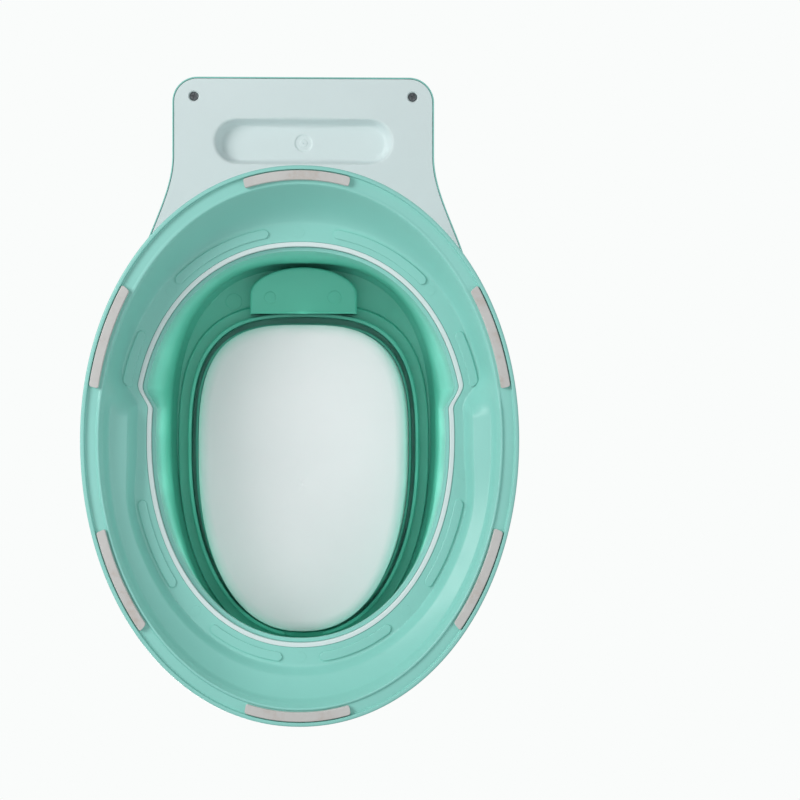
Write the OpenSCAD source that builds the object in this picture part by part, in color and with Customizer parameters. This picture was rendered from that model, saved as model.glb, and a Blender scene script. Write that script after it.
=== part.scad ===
// Potty training chair.
// Origin: on the floor below the centre of the whole chair. Front is -Y, rear is +Y, up is +Z.
// A child sits facing -Y, with the backrest at +Y.

/* [Base] */
// Half the width of the base at the floor
base_half_w = 141.4; // [136:0.2:146]
// Length of the base from its widest line to its front edge
base_front = 185; // [180:1:190]
// Length of the base from its widest line to its rear edge
base_rear = 177; // [172:1:182]
// Y place of the widest line of the base and pedestal
base_y = -37; // [-40:0.5:-34]
// Height of the underside of the base's inner flange
flange_z = 32; // [30:0.5:34]
// Width of the inner flange
flange_w = 12; // [11:0.5:14]

/* [Grip strips] */
// Width of each anti-slip strip
strip_w = 6.6; // [5.6:0.2:6.6]
// Distance from the base's outer edge to a strip
strip_inset = 3.1; // [3.1:0.1:4]
// Thickness of each strip
strip_h = 3.4; // [3:0.2:4]
// How far the strips stand below the base's lip
strip_proud = 0.8; // [0.4:0.1:1.2]

/* [Pedestal] */
// Half the width of the pedestal's foot behind its shoulders
foot_half_w = 110.3; // [109:0.1:111]
// How far the foot steps in at its shoulders
shoulder_step = 9.1; // [7:0.1:10]
// Wall of the pedestal
pedestal_wall = 3; // [2.4:0.1:3.4]
// Height of the seat's bottom edge, which covers the pedestal's top
skirt_z = 184; // [178:1:190]

/* [Seat] */
// Half the width of the seat
seat_half_w = 126; // [123:1:130]
// Height of the seat's top surface
seat_z = 205; // [200:1:210]
// Half the width of the seat's opening
opening_half_w = 81.5; // [80:0.5:83]
// Length of the opening from its widest line to the front
opening_front = 133.5; // [131:0.5:135]
// Length of the opening from its widest line to the rear
opening_rear = 97; // [95:0.5:99]
// Y place of the widest line of the opening and bowl
opening_y = -48; // [-50:0.5:-46]
// Half the width of the pocket for the bowl's handle
pocket_half_w = 38.8; // [37:0.2:40]
// Y place of the rear end of that pocket
pocket_end = 85; // [83:0.5:86]

/* [Back] */
// Half the width of the rear deck
deck_half_w = 94.5; // [90:0.5:98]
// Y place of the rear end of the deck
deck_rear = 222; // [218:1:226]
// Height of the underside of the deck
deck_z = 172; // [168:1:176]
// Height of the top of the backrest
back_top = 345; // [320:1:360]
// Wall of the back shell
back_wall = 2.4; // [2:0.1:3]
// Length of the finger-grip recess under the deck
grip_len = 124; // [110:1:140]
// Width of that recess
grip_w = 29; // [26:1:36]
// Depth of that recess
grip_depth = 11; // [8:0.5:13]
// Y place of the middle of that recess
grip_y = 175.5; // [172:0.5:179]

/* [Bowl] */
// Height of the bowl's underside
bowl_z = 103; // [98:1:108]
// Height of the top of the bowl's wall
bowl_top = 203; // [201:0.5:204]
// Wall of the bowl
bowl_wall = 2.4; // [2:0.1:3]
// Radius round the bowl's bottom edge
bowl_round = 18; // [12:1:20]
// Height of the splash guard's peak
guard_top = 246; // [235:1:255]

/* [Hidden] */
steps = 72;
mint = [0.50, 0.80, 0.73];
white = [0.94, 0.96, 0.96];
frosted = [0.90, 0.93, 0.93];
strip_color = [0.85, 0.80, 0.78];
steel = [0.60, 0.61, 0.63];
$fn = 48;

foot_front = 137.1;
foot_rear = 129.7;
foot_n_front = 2.1;
foot_n_rear = 2.15;
// Squareness of the opening's and the bowl's outlines, ahead of and behind their widest line
opening_n_front = 2.2;
opening_n_rear = 3;
bowl_n_front = 2.28;
bowl_n_rear = 3.1;
skin_gap = 0.3;
lip_z = strip_proud;
groove_z = strip_h;
flange_t = 3.2;
flange_top = flange_z + flange_t;
foot_lip = 9;
foot_lip_t = 2.5;
seat_y = -45;
seat_front = 162;
seat_side = 412;
arc_r = 240;
arc_y = 103 - arc_r;
seat_over = 3.6;
plate_t = 3;
seat_under = seat_z - plate_t;
pedestal_top = seat_under - 1;
liner_t = 2.4;
lip_bottom = 186;
ledge_z = seat_z - 4;
pocket_floor = 178;
pocket_wall = 2.5;
pocket_r = 31;
flare_from = 165;
flare_len = 100;
flare_w = 27;
deck_r = 18;
deck_top = 203;
back_front = 150;
screw_x = 79;
screw_y = 208;
head_d = 6.2;
shank_d = 3.2;
screw_len = 14;
screw_deep = 0.6;
// Mint border that shows round the back cover, the cover's thickness and its step above the deck's edge
border = 1.2;
cover_t = 2.8;
cover_step = 0.4;
// Round dimple in the middle of the finger grip
dimple_d = 12.5;
dimple_depth = 0.9;
tip = 0.05;
// Raised pads under the flange: first and last direction, on each side
pads = [[10, 35], [60, 70], [115, 135], [155, 175]];
pad_h = 1.2;
pad_w = 7;
pad_inset = 5;
// The bowl's wall just above its bottom edge: half-width, and lengths ahead and behind
bowl_half_w = 72.5;
bowl_front = 124.5;
bowl_rear = 89;
liner_half_w = 96;
liner_front = 159;
liner_rear = 125;

// Smooth step from 0 to 1
function ease(u) = let (v = min(1, max(0, u))) v * v * (3 - 2 * v);
// Radius of a superellipse with half-axes a and b, in direction t
function lobe(t, a, b, n) =
    pow(pow(abs(sin(t)) / a, n) + pow(abs(cos(t)) / b, n), -1 / n);
// One point at radius r in direction t, measured from the rear, about [0, y]
function polar(r, t, y, z) = [r * sin(t), y + r * cos(t), z];
// A whole row of points at height z, from a list of radii about [0, y]
function row(radii, y, z) =
    [for (i = [0:steps - 1]) polar(radii[i], i * 360 / steps, y, z)];
// The same row of points at another height
function lift(points, z) = [for (p = points) [p.x, p.y, z]];
// A row between two rows
function between(p, q, f, z) = lift(p + (q - p) * f, z);
// An egg-shaped row of points, inset by d
function egg(a, front, rear, nf, nr, y, d, z) = row([for (i = [0:steps - 1])
    let (t = i * 360 / steps, is_front = cos(t) < 0)
    lobe(t, a - d, (is_front ? front : rear) - d, is_front ? nf : nr)], y, z);

// Outer edge of the base, inset by d
function base_row(d, z) = egg(base_half_w, base_front, base_rear, 2.05, 2.05, base_y, d, z);
// Half-width of the pedestal's foot in direction t, which steps in at the shoulders
function foot_a(t) = foot_half_w - shoulder_step * ease((180 - abs(180 - t) - 71) / 8);
// Outer face of the pedestal's foot, inset by d
function foot_row(d, z) = row([for (i = [0:steps - 1])
    let (t = i * 360 / steps, is_front = cos(t) < 0)
    lobe(t, foot_a(t) - d, (is_front ? foot_front : foot_rear) - d,
        is_front ? foot_n_front : foot_n_rear)], base_y, z);
// Radius of the seat's outline in direction t: an ellipse cut by a flat rear arc
function seat_radius(t, d) = let (
    side = lobe(t, seat_half_w - d, (cos(t) < 0 ? seat_front : seat_side) - d, 2),
    m = seat_y - arc_y,
    arc = sqrt(pow(arc_r - d, 2) - pow(m * sin(t), 2)) - m * cos(t))
    pow(pow(side, -40) + pow(arc, -40), -1 / 40);
// Outer edge of the seat, inset by d
function seat_row(d, z) =
    row([for (i = [0:steps - 1]) seat_radius(i * 360 / steps, d)], seat_y, z);
// Edge of the seat's opening, inset by d
function opening_row(d, z) =
    egg(opening_half_w, opening_front, opening_rear, opening_n_front, opening_n_rear, opening_y, d, z);
// Wall of the pedestal or its liner, inset by d, at height z
function body_row(d, z) = between(foot_row(d, 0), seat_row(seat_over + d, 0),
    pow(ease((z - 20) / (pedestal_top - 20)), 0.9), z);
// Outer face of the bowl's wall, inset by d, at height z
function bowl_row(d, z) = let (u = (z - bowl_z - bowl_round) / (bowl_top - bowl_z - bowl_round))
    egg(bowl_half_w + 4.8 * u, bowl_front + 4.3 * u, bowl_rear + 1.7 * u, bowl_n_front, bowl_n_rear,
        opening_y, d, z);

// A ring whose rows run up its outside, over the top and down its inside
module ring(rows) {
    n = len(rows[0]);
    m = len(rows);
    points = [for (r = rows) each r];
    faces = [for (i = [0:m - 1], j = [0:n - 1]) let (k = (j + 1) % n, h = (i + 1) % m)
        [i * n + j, i * n + k, h * n + k, h * n + j]];
    polyhedron(points, faces, convexity = 6);
}

// A closed skin over rows, with its first and last rows capped
module skin(rows) {
    n = len(rows[0]);
    m = len(rows);
    points = [for (r = rows) each r];
    sides = [for (i = [0:m - 2], j = [0:n - 1]) let (k = (j + 1) % n)
        [i * n + j, i * n + k, (i + 1) * n + k, (i + 1) * n + j]];
    caps = [[for (j = [n - 1:-1:0]) j], [for (j = [0:n - 1]) (m - 1) * n + j]];
    polyhedron(points, concat(sides, caps), convexity = 6);
}

// A bar of constant section with round ends, lying along X
module stadium(length, width, height) {
    for (side = [-1, 1])
        translate([side * (length - width) / 2, 0, 0])
            cylinder(d = width, h = height);
    translate([-(length - width) / 2, -width / 2, 0])
        cube([length - width, width, height]);
}

// How far the underside of the flange drops in direction t, where a pad stands on it
function pad_drop(t) = let (w = 180 - abs(180 - t))
    max([for (pad = pads) w >= pad[0] && w <= pad[1] ? pad_h : 0]);
function pad_row(d) = let (points = foot_row(d, flange_z))
    [for (i = [0:steps - 1]) [points[i].x, points[i].y, flange_z - pad_drop(i * 360 / steps)]];
// Row a share u of the way from the lip to the flange
function skirt(u, z) = between(base_row(13, 0), foot_row(-flange_w - 1, 0), u, z);

// Flared skirt of the base, its lip, its strip groove and its inner flange with raised pads
module base_ring() {
    color(mint) ring([
        base_row(2.2, lip_z),
        base_row(0.6, lip_z),
        base_row(0, lip_z + 0.6),
        base_row(0, 4),
        base_row(1.6, 5.8),
        base_row(7, 7.6),
        skirt(0.05, 11),
        skirt(0.25, 18.4),
        skirt(0.5, 26.2),
        skirt(0.75, 32.2),
        skirt(0.92, 34.8),
        foot_row(-flange_w + 2, flange_top),
        foot_row(-skin_gap, flange_top),
        foot_row(-skin_gap, flange_z),
        foot_row(-pad_inset + 0.5, flange_z),
        pad_row(-pad_inset),
        pad_row(-pad_inset - pad_w),
        foot_row(-pad_inset - pad_w - 0.5, flange_z),
        skirt(0.9, 31),
        skirt(0.75, 28.6),
        skirt(0.5, 22.6),
        skirt(0.25, 14.6),
        skirt(0, 4.8),
        base_row(12, 2),
        base_row(10.4, 2),
        base_row(9.9, groove_z),
        base_row(2.9, groove_z),
        base_row(2.7, lip_z + 0.6)]);
}

// An anti-slip strip in the base's groove, about the direction t
module grip_strip(middle, half) {
    function edge(t, d) = let (r = lobe(t, base_half_w - d,
        (cos(t) < 0 ? base_front : base_rear) - d, 2.05)) [r * sin(t), base_y + r * cos(t)];
    near = [for (u = [-1:0.1:1]) edge(middle + half * u, strip_inset)];
    far = [for (u = [1:-0.1:-1]) edge(middle + half * u, strip_inset + strip_w)];
    color(strip_color)
        linear_extrude(strip_h)
            polygon(concat(near, far));
}
module grip_strip_front() { grip_strip(179.4, 11); }
module grip_strip_rear() { grip_strip(0.8, 11.6); }
module grip_strip_front_left() { grip_strip(127.3, 12.8); }
module grip_strip_front_right() { grip_strip(-127.3, 12.8); }
module grip_strip_rear_left() { grip_strip(62.3, 13.4); }
module grip_strip_rear_right() { grip_strip(-62.3, 13.4); }

// Waisted outer shell between the base and the seat, with a foot that rests on the flange
module pedestal() {
    heights = [44, 60, 80, 104, 130, 156, 180, pedestal_top];
    color(white) ring(concat(
        [foot_row(0, flange_z - 0.6), foot_row(0, flange_top), foot_row(-foot_lip, flange_top),
            foot_row(-foot_lip, flange_top + foot_lip_t), foot_row(0, flange_top + foot_lip_t + 1)],
        [for (z = heights) body_row(0, z)],
        [for (i = [len(heights) - 1:-1:0]) body_row(pedestal_wall, heights[i])],
        [foot_row(pedestal_wall, flange_top), foot_row(pedestal_wall, flange_z - 0.6)]));
}

// D-shaped outline of the handle pocket, inset by d, from y0 to its round rear end
module pocket_shape(d, y0) {
    tongue_shape(pocket_half_w - d, pocket_end - d, pocket_r - d, y0);
}

// Wall of the liner that hangs from the seat inside the pedestal, inset by d, at height z
function liner_row(d, z) = between(foot_row(pedestal_wall + 0.4 + d, 0),
    egg(liner_half_w + liner_t - d, liner_front + liner_t - d, liner_rear + liner_t - d,
        opening_n_front, 2.6, base_y, 0, 0),
    ease((z - 30) / 160), z);

// Seat with a ledge for the bowl, a lip round the opening and a liner inside the pedestal
module seat_shell() {
    heights = [42, 66, 92, 118, 144, 168, 190];
    color(mint) difference() {
        union() {
            ring(concat(
                [for (z = heights) liner_row(0, z)],
                [liner_row(-0.6, pedestal_top),
                    seat_row(seat_over - 0.6, pedestal_top),
                    seat_row(seat_over - 0.6, skirt_z),
                    seat_row(0, skirt_z),
                    seat_row(0.4, seat_z - 8),
                    seat_row(3.4, seat_z - 3),
                    seat_row(10, seat_z),
                    between(opening_row(-11.5, 0), seat_row(10, 0), 0.5, seat_z + 1.2),
                    opening_row(-11.5, seat_z),
                    opening_row(-9.5, ledge_z),
                    opening_row(-1.5, ledge_z),
                    opening_row(0, ledge_z - 2),
                    opening_row(0, lip_bottom),
                    opening_row(-2.5, lip_bottom),
                    opening_row(-2.5, ledge_z - plate_t),
                    opening_row(-10, ledge_z - plate_t),
                    opening_row(-11, seat_under),
                    liner_row(liner_t + 2, seat_under)],
                [for (i = [len(heights) - 1:-1:0]) liner_row(liner_t, heights[i])]));
            translate([0, 0, pocket_floor])
                linear_extrude(ledge_z - pocket_floor)
                    pocket_shape(0, opening_y + opening_rear + 1);
            translate([0, 0, ledge_z - plate_t])
                linear_extrude(plate_t + 2)
                    pocket_shape(0, opening_y + opening_rear + 9);
        }
        translate([0, 0, pocket_floor + pocket_wall])
            linear_extrude(40)
                pocket_shape(pocket_wall, 30);
        translate([-14, opening_y - opening_front - 6, lip_bottom - 1])
            cube([28, 12, 6]);
    }
}

// Outline of the rear deck, inset by d
function deck_side(y, d) = deck_half_w - d + flare_w * ease((flare_from - y) / flare_len);
function deck_half(d) = let (
    w = deck_half_w + flare_w - d,
    y_tip = arc_y + sqrt(pow(arc_r + skin_gap + d, 2) - w * w))
    concat(
        [for (u = [0:0.1:1]) let (y = y_tip + u * (flare_from - y_tip)) [deck_side(y, d), y]],
        [for (t = [0:10:90]) [deck_half_w - deck_r + (deck_r - d) * cos(t),
            deck_rear - deck_r + (deck_r - d) * sin(t)]]);
module deck_shape(d) {
    half = deck_half(d);
    arc = arc_r + skin_gap + d;
    reach = asin(half[0].x / arc);
    polygon(concat(
        half,
        [for (i = [len(half) - 1:-1:0]) [-half[i].x, half[i].y]],
        [for (u = [-0.95:0.1:0.95]) [arc * sin(reach * u), arc_y + arc * cos(reach * u)]]));
}

// Half-outline rows of the backrest, inset by d, at height z
function back_row(d, z) = let (
    u = (z - deck_top) / (back_top - deck_top),
    half_w = deck_half_w - 7 * u - d,
    y_front = back_front + 20 * u + d,
    y_rear = deck_rear - 2.5 * max(0, u) - d,
    r = deck_r - d)
    [for (t = [0:10:90]) [half_w - r + r * sin(t), y_rear - r + r * cos(t), z],
     for (t = [90:10:180]) [half_w - r + r * sin(t), y_front + r + r * cos(t), z],
     for (t = [180:10:270]) [-half_w + r + r * sin(t), y_front + r + r * cos(t), z],
     for (t = [270:10:360]) [-half_w + r + r * sin(t), y_rear - r + r * cos(t), z]];

// Rear deck and backrest, open below
module back_shell() {
    crown = 12;
    boss_z = deck_z + 3.2;
    rib_t = 2.4;
    color(mint) {
        difference() {
            union() {
                translate([0, 0, deck_z])
                    linear_extrude(deck_top - deck_z)
                        deck_shape(0);
                skin([back_row(tip, deck_top - 10), back_row(0, deck_top), back_row(0, back_top - crown),
                    back_row(2, back_top - 5), back_row(6, back_top - 1.5), back_row(crown, back_top)]);
            }
            translate([0, 0, deck_z - 1])
                linear_extrude(deck_top - deck_z - 2)
                    deck_shape(back_wall);
            translate([0, 0, deck_z - 1])
                linear_extrude(1 + cover_t + 2 * cover_step)
                    deck_shape(border - skin_gap);
            skin([back_row(back_wall, deck_top - 12), back_row(back_wall, back_top - crown),
                back_row(back_wall + 5, back_top - 3.5)]);
        }
        for (side = [-1, 1])
            translate([side * screw_x, screw_y, boss_z]) {
                boss(40);
                translate([-rib_t / 2, 3, 8])
                    cube([rib_t, deck_rear - screw_y - 4.2, 32]);
            }
        intersection() {
            translate([-rib_t / 2, back_front, deck_top + 4])
                cube([rib_t, deck_rear - back_front, 80]);
            skin([back_row(back_wall / 2, deck_top), back_row(back_wall / 2, back_top)]);
        }
    }
}

// Screw boss with a pilot hole
module boss(h) {
    difference() {
        cylinder(d = 9, h = h);
        translate([0, 0, -1])
            cylinder(d = shank_d + 0.3, h = screw_len + 2);
    }
}

// Panel that closes the underside of the deck, with the finger-grip recess and its round dimple
module back_cover() {
    color(white) difference() {
        union() {
            translate([0, 0, deck_z + cover_step])
                linear_extrude(cover_t)
                    deck_shape(border);
            translate([0, grip_y, deck_z + cover_step])
                stadium(grip_len + 4, grip_w + 4, grip_depth + 2);
        }
        translate([0, grip_y, deck_z - 1])
            stadium(grip_len, grip_w, grip_depth + 1);
        translate([0, grip_y, deck_z + 1])
            cylinder(d = dimple_d, h = grip_depth - 1 + dimple_depth);
        for (side = [-1, 1])
            translate([side * screw_x, screw_y, deck_z - 1]) {
                cylinder(d1 = head_d + 4, d2 = head_d + 0.8, h = 1.9);
                cylinder(d = head_d + 0.8, h = 3.5);
                cylinder(d = shank_d + 0.9, h = 10);
            }
    }
}

// Cross-head screw standing head down, with the face of its head at the origin
module back_screw() {
    head_h = 2.2;
    slot = 0.8;
    slot_len = 3.8;
    color(steel) difference() {
        union() {
            cylinder(d1 = head_d - 1.2, d2 = head_d, h = 0.8);
            translate([0, 0, 0.8])
                cylinder(d = head_d, h = 0.2);
            translate([0, 0, 1])
                cylinder(d1 = head_d, d2 = shank_d, h = head_h - 1);
            cylinder(d = shank_d, h = screw_len);
        }
        for (turn = [20, 110])
            rotate(turn)
                translate([-slot_len / 2, -slot / 2, -1])
                    cube([slot_len, slot, 2.2]);
    }
}
module back_screw_left() { translate([screw_x, screw_y, deck_z + screw_deep]) back_screw(); }
module back_screw_right() { translate([-screw_x, screw_y, deck_z + screw_deep]) back_screw(); }

// Removable pot, open at the top
module bowl() {
    inner_round = bowl_round - bowl_wall;
    curve = [for (t = [0:15:90]) t];
    color(frosted) skin(concat(
        [for (t = curve) lift(bowl_row(bowl_round * (1 - sin(t)), bowl_z + bowl_round),
            bowl_z + bowl_round * (1 - cos(t)))],
        [bowl_row(0, 160), bowl_row(0, bowl_top), bowl_row(bowl_wall, bowl_top),
            bowl_row(bowl_wall, 160)],
        [for (i = [len(curve) - 1:-1:0]) let (t = curve[i])
            lift(bowl_row(bowl_wall + inner_round * (1 - sin(t)), bowl_z + bowl_round),
                bowl_z + bowl_wall + inner_round * (1 - cos(t)))]));
}

// Rim of the pot, with the handle tongue that lies over the seat's pocket
module bowl_collar() {
    flange_low = ledge_z + 0.5;
    top = bowl_top + 3.4;
    tongue_half_w = 33;
    tongue_end = 72;
    tongue_r = 17;
    tongue_y = 46.5;
    color(mint) difference() {
        union() {
            ring([
                bowl_row(-2.1, 189),
                bowl_row(-2.1, flange_low),
                opening_row(-7.3, flange_low),
                opening_row(-7.3, flange_low + 2.4),
                opening_row(-4.8, top - 0.6),
                bowl_row(0, top),
                bowl_row(2.2, top - 0.8),
                bowl_row(2.8, bowl_top + 0.2),
                bowl_row(-0.3, bowl_top + 0.2),
                bowl_row(-0.3, 189)]);
            translate([0, 0, 195])
                linear_extrude(top - 0.8 - 195)
                    tongue_shape(tongue_half_w, tongue_end, tongue_r, tongue_y);
        }
        translate([0, 0, 190])
            linear_extrude(top - 0.8 - 190 - 2.6)
                tongue_shape(tongue_half_w - 2.4, tongue_end - 2.4, tongue_r - 2.4, tongue_y);
    }
}
// D shape from y0 to a rear end with round corners
module tongue_shape(half_w, y_end, r, y0) {
    side = [for (t = [0:7.5:90]) [half_w - r + r * cos(t), y_end - r + r * sin(t)]];
    start = y_end - r - y0;
    near = start > 0 ? [[half_w, y0]] : [];
    far = [for (p = side) if (p.y > y0) p];
    polygon(concat(near, far, [for (i = [len(far) - 1:-1:0]) [-far[i].x, far[i].y]],
        start > 0 ? [[-half_w, y0]] : []));
}

// Curved shield that stands on the rim at the front
module splash_guard() {
    span = 58;
    cuts = 28;
    foot_z = bowl_top + 3.8;
    edge_z = bowl_top + 11;
    function wall_point(t, d, z) = let (u = (min(z, bowl_top) - bowl_z - bowl_round) /
        (bowl_top - bowl_z - bowl_round))
        polar(lobe(t, bowl_half_w + 4.8 * u - d, bowl_front + 4.3 * u - d, bowl_n_front), t, opening_y, z);
    function peak(t) = edge_z + (guard_top - edge_z) * pow(cos(90 * (t - 180) / span), 1.4);
    sections = [for (i = [0:cuts]) let (t = 180 - span + 2 * span * i / cuts, h = peak(t)) [
        wall_point(t, 5.8, foot_z), wall_point(t, 3.4, foot_z), wall_point(t, 3.4, foot_z + 0.6),
        wall_point(t, -2, foot_z + 0.6), wall_point(t, -2, foot_z + 2.6), wall_point(t, 2.4, foot_z + 3),
        wall_point(t, 1.4, h), wall_point(t, 3.8, h + 0.2)]];
    color(mint) skin(sections);
}

base_ring();
grip_strip_front();
grip_strip_rear();
grip_strip_front_left();
grip_strip_front_right();
grip_strip_rear_left();
grip_strip_rear_right();
pedestal();
seat_shell();
back_shell();
back_cover();
back_screw_left();
back_screw_right();
bowl();
bowl_collar();
splash_guard();
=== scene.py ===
import math

import bmesh
import bpy
import numpy as np
from mathutils import Matrix, Vector

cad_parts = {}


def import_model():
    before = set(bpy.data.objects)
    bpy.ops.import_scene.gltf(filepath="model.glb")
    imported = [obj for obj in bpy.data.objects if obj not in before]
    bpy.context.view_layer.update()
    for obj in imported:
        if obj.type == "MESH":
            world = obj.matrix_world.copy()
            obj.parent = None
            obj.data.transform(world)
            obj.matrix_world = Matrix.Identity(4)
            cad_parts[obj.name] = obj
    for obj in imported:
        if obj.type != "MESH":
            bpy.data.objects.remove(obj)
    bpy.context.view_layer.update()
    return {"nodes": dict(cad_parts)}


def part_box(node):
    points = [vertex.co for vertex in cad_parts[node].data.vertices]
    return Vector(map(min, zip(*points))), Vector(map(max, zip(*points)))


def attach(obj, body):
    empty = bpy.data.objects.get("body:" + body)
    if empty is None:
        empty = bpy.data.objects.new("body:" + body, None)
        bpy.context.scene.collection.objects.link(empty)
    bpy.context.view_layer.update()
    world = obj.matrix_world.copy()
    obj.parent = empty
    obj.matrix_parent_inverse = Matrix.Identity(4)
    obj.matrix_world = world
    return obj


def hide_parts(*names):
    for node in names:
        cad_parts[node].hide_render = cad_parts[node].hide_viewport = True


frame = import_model()

# Lengths are in millimetres here, and turn into metres when a mesh, camera or light is made.
MM = 0.001
# Points in a closed row
ROUND = 720
# Faces that meet at a wider angle than this keep a sharp edge
SHARP_ANGLE = 38
T = np.linspace(0, 2 * math.pi, ROUND, endpoint=False)
DEG = np.degrees(T)
# Direction as an angle from the rear, the same on both sides
SIDE = 180 - np.abs(180 - DEG)


def box_mm(node):
    """Lowest and highest corner of a CAD node, in millimetres."""
    low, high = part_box(node)
    return np.array(low) / MM, np.array(high) / MM


ring_low, ring_high = box_mm("base_ring")
pedestal_low, pedestal_high = box_mm("pedestal")
seat_low, seat_high = box_mm("seat_shell")
back_low, back_high = box_mm("back_shell")
cover_low = box_mm("back_cover")[0]
bowl_low, bowl_high = box_mm("bowl")
collar_low, collar_high = box_mm("bowl_collar")
guard_low, guard_high = box_mm("splash_guard")
strip_low, strip_high = box_mm("grip_strip_rear")
screw_low, screw_high = box_mm("back_screw_left")

# In each pair below, the first value holds ahead of an outline's widest line and the second behind it.

# Base and the pedestal's foot
BASE_Y = -37
BASE_SQUARE = 2.05
FOOT_SQUARE = (2.1, 2.15)
# The foot steps in at its shoulders, from this direction on and over this many degrees
SHOULDER = 71
SHOULDER_SPAN = 8
base_half = ring_high[0]
base_front = BASE_Y - ring_low[1]
base_rear = ring_high[1] - BASE_Y
lip_z = ring_low[2]
groove_z = strip_high[2]
flange_top = ring_high[2]
flange_t = 3.2
flange_z = flange_top - flange_t
# Height of the skirt's underside where it leaves the lip
lip_top = 4.8
foot_z = pedestal_low[2]
foot_half = 110.3
foot_step = 9.1
foot_front = 137.1
foot_rear = 129.7
skin_gap = 0.15
pedestal_wall = 3
# Height at which the pedestal's foot has turned into its body
body_z = 43
foot_lip = 9

# Seat
seat_half = seat_high[0]
SEAT_Y = -45
seat_front = SEAT_Y - seat_low[1]
SEAT_SIDE = 412
ARC_R = 240
ARC_Y = 103 - ARC_R
CROWN = 1.2
seat_z = seat_high[2] - CROWN
seat_under = seat_z - 3
pedestal_top = pedestal_high[2]
seat_over = 3.6
skirt_z = 184
ledge_z = seat_z - 4
lip_bottom = 186
OPENING_Y = -48
opening_half = 81.5
opening_front = 133.5
opening_rear = 97
liner_t = 2.4
OPENING_SQUARE = (2.2, 3)
# Liner's outline where it meets the seat: half-width, and lengths ahead and behind
LINER = (98.4, 161.4, 127.4)
LINER_SQUARE = (2.2, 2.6)
# Handle pocket: half-width, length of its round end, and Y place of that end
POCKET = (38.8, 20, 85)
pocket_wall = 2.5
pocket_low = 178
# Handle tongue: half-width, Y place of its end, corner radius, and Y place of its root
TONGUE = (33, 72, 17, 46.5)
tongue_wall = 2.4

# Bowl: half-width and lengths ahead and behind just above its bottom edge, and their growth up to the rim
BOWL = (72.5, 124.5, 89)
BOWL_GROWTH = (4.8, 4.3, 1.7)
BOWL_SQUARE = (2.28, 3.1)
# Height above the underside at which those lengths hold
BOWL_FOOT = 18
# Y place of the middle of the bowl's bottom
BOWL_MIDDLE = OPENING_Y - 21
bowl_wall = 2.4
bowl_edge = 8

# Back
deck_z = back_low[2]
deck_top = 203
deck_half = 94.5
deck_rear = back_high[1]
deck_r = 18
deck_wall = 2.4
# The deck widens by this much ahead of a place along Y, over a length
DECK_FLARE = 27
FLARE_FROM = 165
FLARE_LENGTH = 100
border = 0.9
cover_t = 2.8
rebate = 3.6
back_top = back_high[2]
back_front = 150
crown = 12
# Finger grip: half its length, its end radius and its depth
grip_y = 175.5
grip_half = 62
grip_r = 14.5
grip_depth = 11
screw_x = (screw_low[0] + screw_high[0]) / 2
screw_y = (screw_low[1] + screw_high[1]) / 2


# ---------------------------------------------------------------- outlines and rows

def ease(u):
    """Smooth step from 0 to 1."""
    v = np.clip(u, 0, 1)
    return v * v * (3 - 2 * v)


def lobe(t, a, b, n):
    """Radius of a superellipse with half-axes a and b in direction t."""
    return (np.abs(np.sin(t) / a) ** n + np.abs(np.cos(t) / b) ** n) ** (-1 / n)


def polar(radius, t, y, z):
    """Points at a radius in direction t, measured from the rear, about (0, y)."""
    z = np.broadcast_to(np.asarray(z, float), t.shape)
    return np.stack([radius * np.sin(t), y + radius * np.cos(t), z], axis=1)


def egg_radius(t, a, front, rear, n_front, n_rear):
    """Radius of an outline whose front and rear halves are different superellipses."""
    ahead = np.cos(t) < 0
    return np.where(ahead, lobe(t, a, front, n_front), lobe(t, a, rear, n_rear))


def base_row(d, z, t=T):
    """Outer edge of the base, inset by d."""
    radius = egg_radius(t, base_half - d, base_front - d, base_rear - d, BASE_SQUARE, BASE_SQUARE)
    return polar(radius, t, BASE_Y, z)


def foot_row(d, z, t=T):
    """Outer face of the pedestal's foot, inset by d. It steps in at the shoulders."""
    side = 180 - np.abs(180 - np.degrees(t) % 360)
    half = foot_half - foot_step * ease((side - SHOULDER) / SHOULDER_SPAN) - d
    radius = egg_radius(t, half, foot_front - d, foot_rear - d, *FOOT_SQUARE)
    return polar(radius, t, BASE_Y, z)


def seat_row(d, z):
    """Outer edge of the seat: an ellipse cut by a flat rear arc, with its corners blended."""
    blend = 40.0
    length = np.where(np.cos(T) < 0, seat_front, SEAT_SIDE) - d
    side = lobe(T, seat_half - d, length, 2)
    reach = SEAT_Y - ARC_Y
    arc = np.sqrt((ARC_R - d) ** 2 - (reach * np.sin(T)) ** 2) - reach * np.cos(T)
    radius = (side ** -blend + arc ** -blend) ** (-1 / blend)
    return polar(radius, T, SEAT_Y, z)


def opening_row(d, z):
    """Edge of the seat's opening, inset by d."""
    radius = egg_radius(T, opening_half - d, opening_front - d, opening_rear - d, *OPENING_SQUARE)
    return polar(radius, T, OPENING_Y, z)


def level(points, z):
    """The same row at another height."""
    moved = np.array(points, float)
    moved[:, 2] = z
    return moved


def between(p, q, f, z):
    f = np.asarray(f, float)
    f = f[:, None] if f.ndim else f
    return level(p + (q - p) * f, z)


def body_row(d, z):
    """Wall of the pedestal, inset by d, at height z."""
    f = ease((z - 20) / (pedestal_top - 20)) ** 0.9
    return between(foot_row(d, 0), seat_row(seat_over + d, 0), f, z)


def liner_row(d, z):
    """Wall that hangs from the seat inside the pedestal, inset by d, at height z."""
    radius = egg_radius(T, *(size - d for size in LINER), *LINER_SQUARE)
    inner = polar(radius, T, BASE_Y, z)
    return between(foot_row(pedestal_wall + 0.15 + d, 0), inner, ease((z - 30) / 160), z)


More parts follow.
